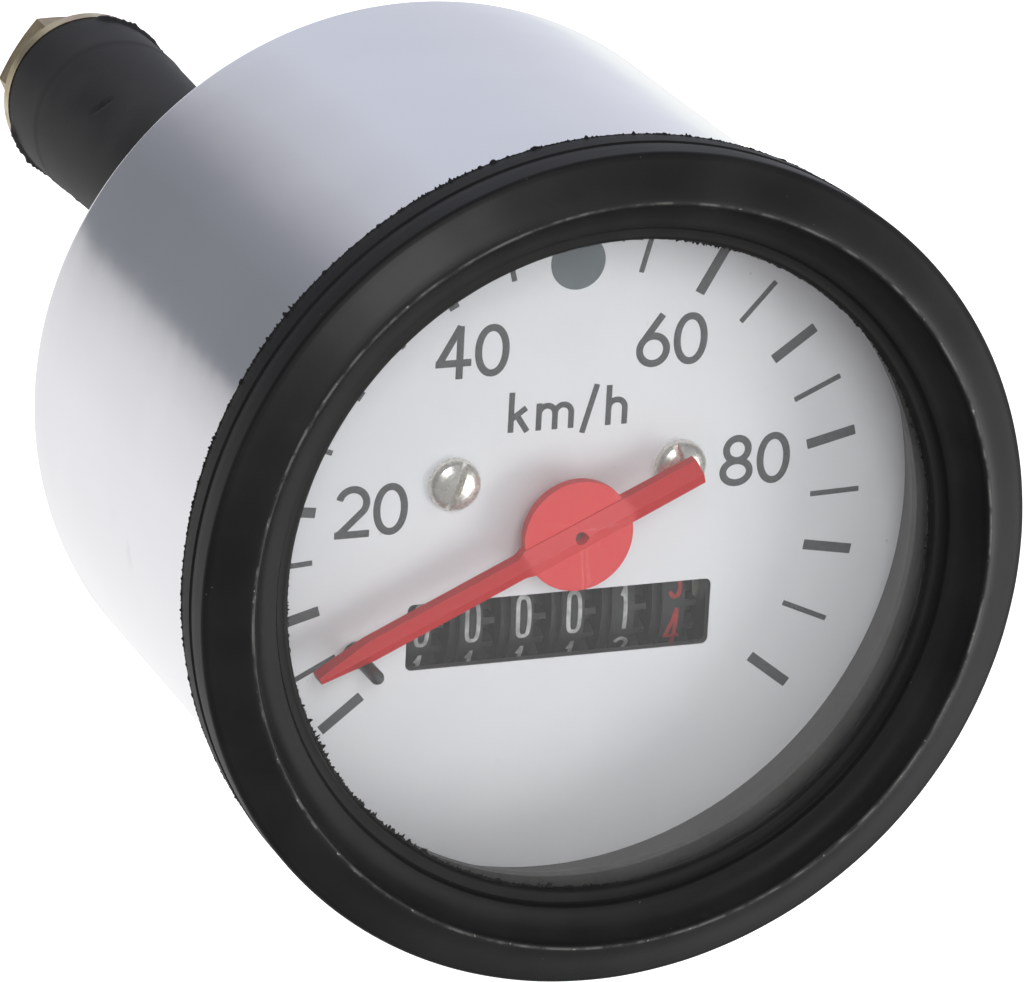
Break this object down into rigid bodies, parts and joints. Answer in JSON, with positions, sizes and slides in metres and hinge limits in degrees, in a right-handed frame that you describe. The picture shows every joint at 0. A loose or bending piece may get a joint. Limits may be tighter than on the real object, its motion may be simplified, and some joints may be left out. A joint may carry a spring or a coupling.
{
  "type": "speedometer",
  "caption": "Round chromed moped speedometer with rubber bezel, white dial, red pointer, drum odometer, rear cable neck and rubber-sleeved fixing stud.",
  "frame": {"origin": "on the gauge axis, at the shoulder where the cable thread starts", "axes": "-Y out of the dial towards the rider, +Y out of the back along the cable neck, +Z to 12 o'clock on the dial"},
  "size_m": [0.0638, 0.0905, 0.0638],
  "materials": {
    "chrome": "polished chrome plate",
    "bezel_rubber": "satin black moulded rubber",
    "clear_lens": "clear polished",
    "spacer_grey": "matt light grey",
    "dial_white": "silvery white satin lacquer",
    "nickel": "nickel plated",
    "filter_blue": "unlit blue-grey filter",
    "black_plastic": "black moulded plastic",
    "pin_dark": "dark sleeve",
    "pointer_red": "red fluorescent paint",
    "steel": "bright turned steel",
    "aluminium": "bright spun and cast",
    "brass": "turned and stamped",
    "magnet_iron": "ground ferrite",
    "nylon": "natural nylon",
    "neck_zinc": "zinc plated, turned",
    "seal_rubber": "black rubber with moulding marks",
    "yellow_zinc": "yellow passivated zinc"
  },
  "bodies": {
    "case": {"cup": "chrome", "cup_floor": "chrome", "rubber_bezel": "bezel_rubber", "lens": "clear_lens", "spacer_ring": "spacer_grey", "dial_plate": "dial_white", "dial_screws": "nickel", "telltale_filter": "filter_blue", "telltale_tube": "black_plastic", "stop_pin": "pin_dark", "hairspring": "brass", "hairspring_stud": "brass", "thrust_washer": "nylon", "neck_bush": "brass", "odometer_axle": "steel", "axle_clips": "nickel", "pinion_shaft": "steel", "movement_frame": "aluminium", "top_bridge": "brass", "middle_bridge": "brass", "bridge_screws": "nickel", "cable_neck": "neck_zinc", "neck_seal": "seal_rubber", "ring_nut": "nickel", "expander_stud": "yellow_zinc", "rubber_sleeve": "seal_rubber", "stud_washer": "yellow_zinc", "stud_nut": "yellow_zinc"},
    "pointer_arm": {"pointer": "pointer_red", "pointer_spindle": "steel", "drag_cup": "aluminium", "hairspring_collet": "brass"},
    "drive": {"drive_spindle": "steel", "magnet_hub": "brass", "magnet": "magnet_iron", "flux_cup": "steel"},
    "cross": {"cross_shaft": "steel", "cross_wheel": "nylon"},
    "lay": {"lay_shaft": "steel", "lay_wheel": "nylon"},
    "tenths": {"drum_tenths": "black_plastic", "odometer_drive_gear": "nylon"},
    "units": {"drum_units": "black_plastic"},
    "tens": {"drum_tens": "black_plastic"},
    "hundreds": {"drum_hundreds": "black_plastic"},
    "thousands": {"drum_thousands": "black_plastic"},
    "ten_thousands": {"drum_ten_thousands": "black_plastic"},
    "carry_1": {"carry_pinion_1": "nylon"},
    "carry_2": {"carry_pinion_2": "nylon"},
    "carry_3": {"carry_pinion_3": "nylon"},
    "carry_4": {"carry_pinion_4": "nylon"},
    "carry_5": {"carry_pinion_5": "nylon"}
  },
  "joints": [
    {"name": "pointer_sweep", "type": "hinge", "parent": "case", "child": "pointer_arm", "pos_m": [0, 0, 0], "axis": [0, 1, 0], "range_deg": [0, 243], "stiffness_Nm_per_rad": 0.00002},
    {"name": "spindle_turn", "type": "hinge", "parent": "case", "child": "drive", "pos_m": [0, 0, 0], "axis": [0, 1, 0], "continuous": true},
    {"name": "cross_turn", "type": "hinge", "parent": "case", "child": "cross", "pos_m": [0, -0.00945, 0.00415], "axis": [1, 0, 0], "continuous": true},
    {"name": "lay_turn", "type": "hinge", "parent": "case", "child": "lay", "pos_m": [0.02096, -0.0392, -0.00194], "axis": [0, 1, 0], "continuous": true},
    {"name": "tenths_turn", "type": "hinge", "parent": "case", "child": "tenths", "pos_m": [0, -0.03135, -0.00803], "axis": [1, 0, 0], "continuous": true},
    {"name": "units_turn", "type": "hinge", "parent": "case", "child": "units", "pos_m": [0, -0.03135, -0.00803], "axis": [1, 0, 0], "continuous": true},
    {"name": "carry_5_turn", "type": "hinge", "parent": "case", "child": "carry_5", "pos_m": [0, -0.02788, -0.01548], "axis": [1, 0, 0], "continuous": true},
    {"name": "tens_turn", "type": "hinge", "parent": "case", "child": "tens", "pos_m": [0, -0.03135, -0.00803], "axis": [1, 0, 0], "continuous": true},
    {"name": "carry_4_turn", "type": "hinge", "parent": "case", "child": "carry_4", "pos_m": [0, -0.02788, -0.01548], "axis": [1, 0, 0], "continuous": true},
    {"name": "hundreds_turn", "type": "hinge", "parent": "case", "child": "hundreds", "pos_m": [0, -0.03135, -0.00803], "axis": [1, 0, 0], "continuous": true},
    {"name": "carry_3_turn", "type": "hinge", "parent": "case", "child": "carry_3", "pos_m": [0, -0.02788, -0.01548], "axis": [1, 0, 0], "continuous": true},
    {"name": "thousands_turn", "type": "hinge", "parent": "case", "child": "thousands", "pos_m": [0, -0.03135, -0.00803], "axis": [1, 0, 0], "continuous": true},
    {"name": "carry_2_turn", "type": "hinge", "parent": "case", "child": "carry_2", "pos_m": [0, -0.02788, -0.01548], "axis": [1, 0, 0], "continuous": true},
    {"name": "ten_thousands_turn", "type": "hinge", "parent": "case", "child": "ten_thousands", "pos_m": [0, -0.03135, -0.00803], "axis": [1, 0, 0], "continuous": true},
    {"name": "carry_1_turn", "type": "hinge", "parent": "case", "child": "carry_1", "pos_m": [0, -0.02788, -0.01548], "axis": [1, 0, 0], "continuous": true}
  ],
  "couplings": [
    {"joint": "cross_turn", "follows": "spindle_turn", "ratio": 0.1},
    {"joint": "lay_turn", "follows": "spindle_turn", "ratio": 0.01},
    {"joint": "tenths_turn", "follows": "spindle_turn", "ratio": -0.001},
    {"joint": "units_turn", "follows": "spindle_turn", "ratio": -0.0001},
    {"joint": "carry_5_turn", "follows": "spindle_turn", "ratio": 0.00025},
    {"joint": "tens_turn", "follows": "spindle_turn", "ratio": -0.00001},
    {"joint": "carry_4_turn", "follows": "spindle_turn", "ratio": 0.000025},
    {"joint": "hundreds_turn", "follows": "spindle_turn", "ratio": -0.000001},
    {"joint": "carry_3_turn", "follows": "spindle_turn", "ratio": 0.0000025},
    {"joint": "thousands_turn", "follows": "spindle_turn", "ratio": -0.0000001},
    {"joint": "carry_2_turn", "follows": "spindle_turn", "ratio": 0.00000025},
    {"joint": "ten_thousands_turn", "follows": "spindle_turn", "ratio": -0.00000001},
    {"joint": "carry_1_turn", "follows": "spindle_turn", "ratio": 0.000000025}
  ]
}
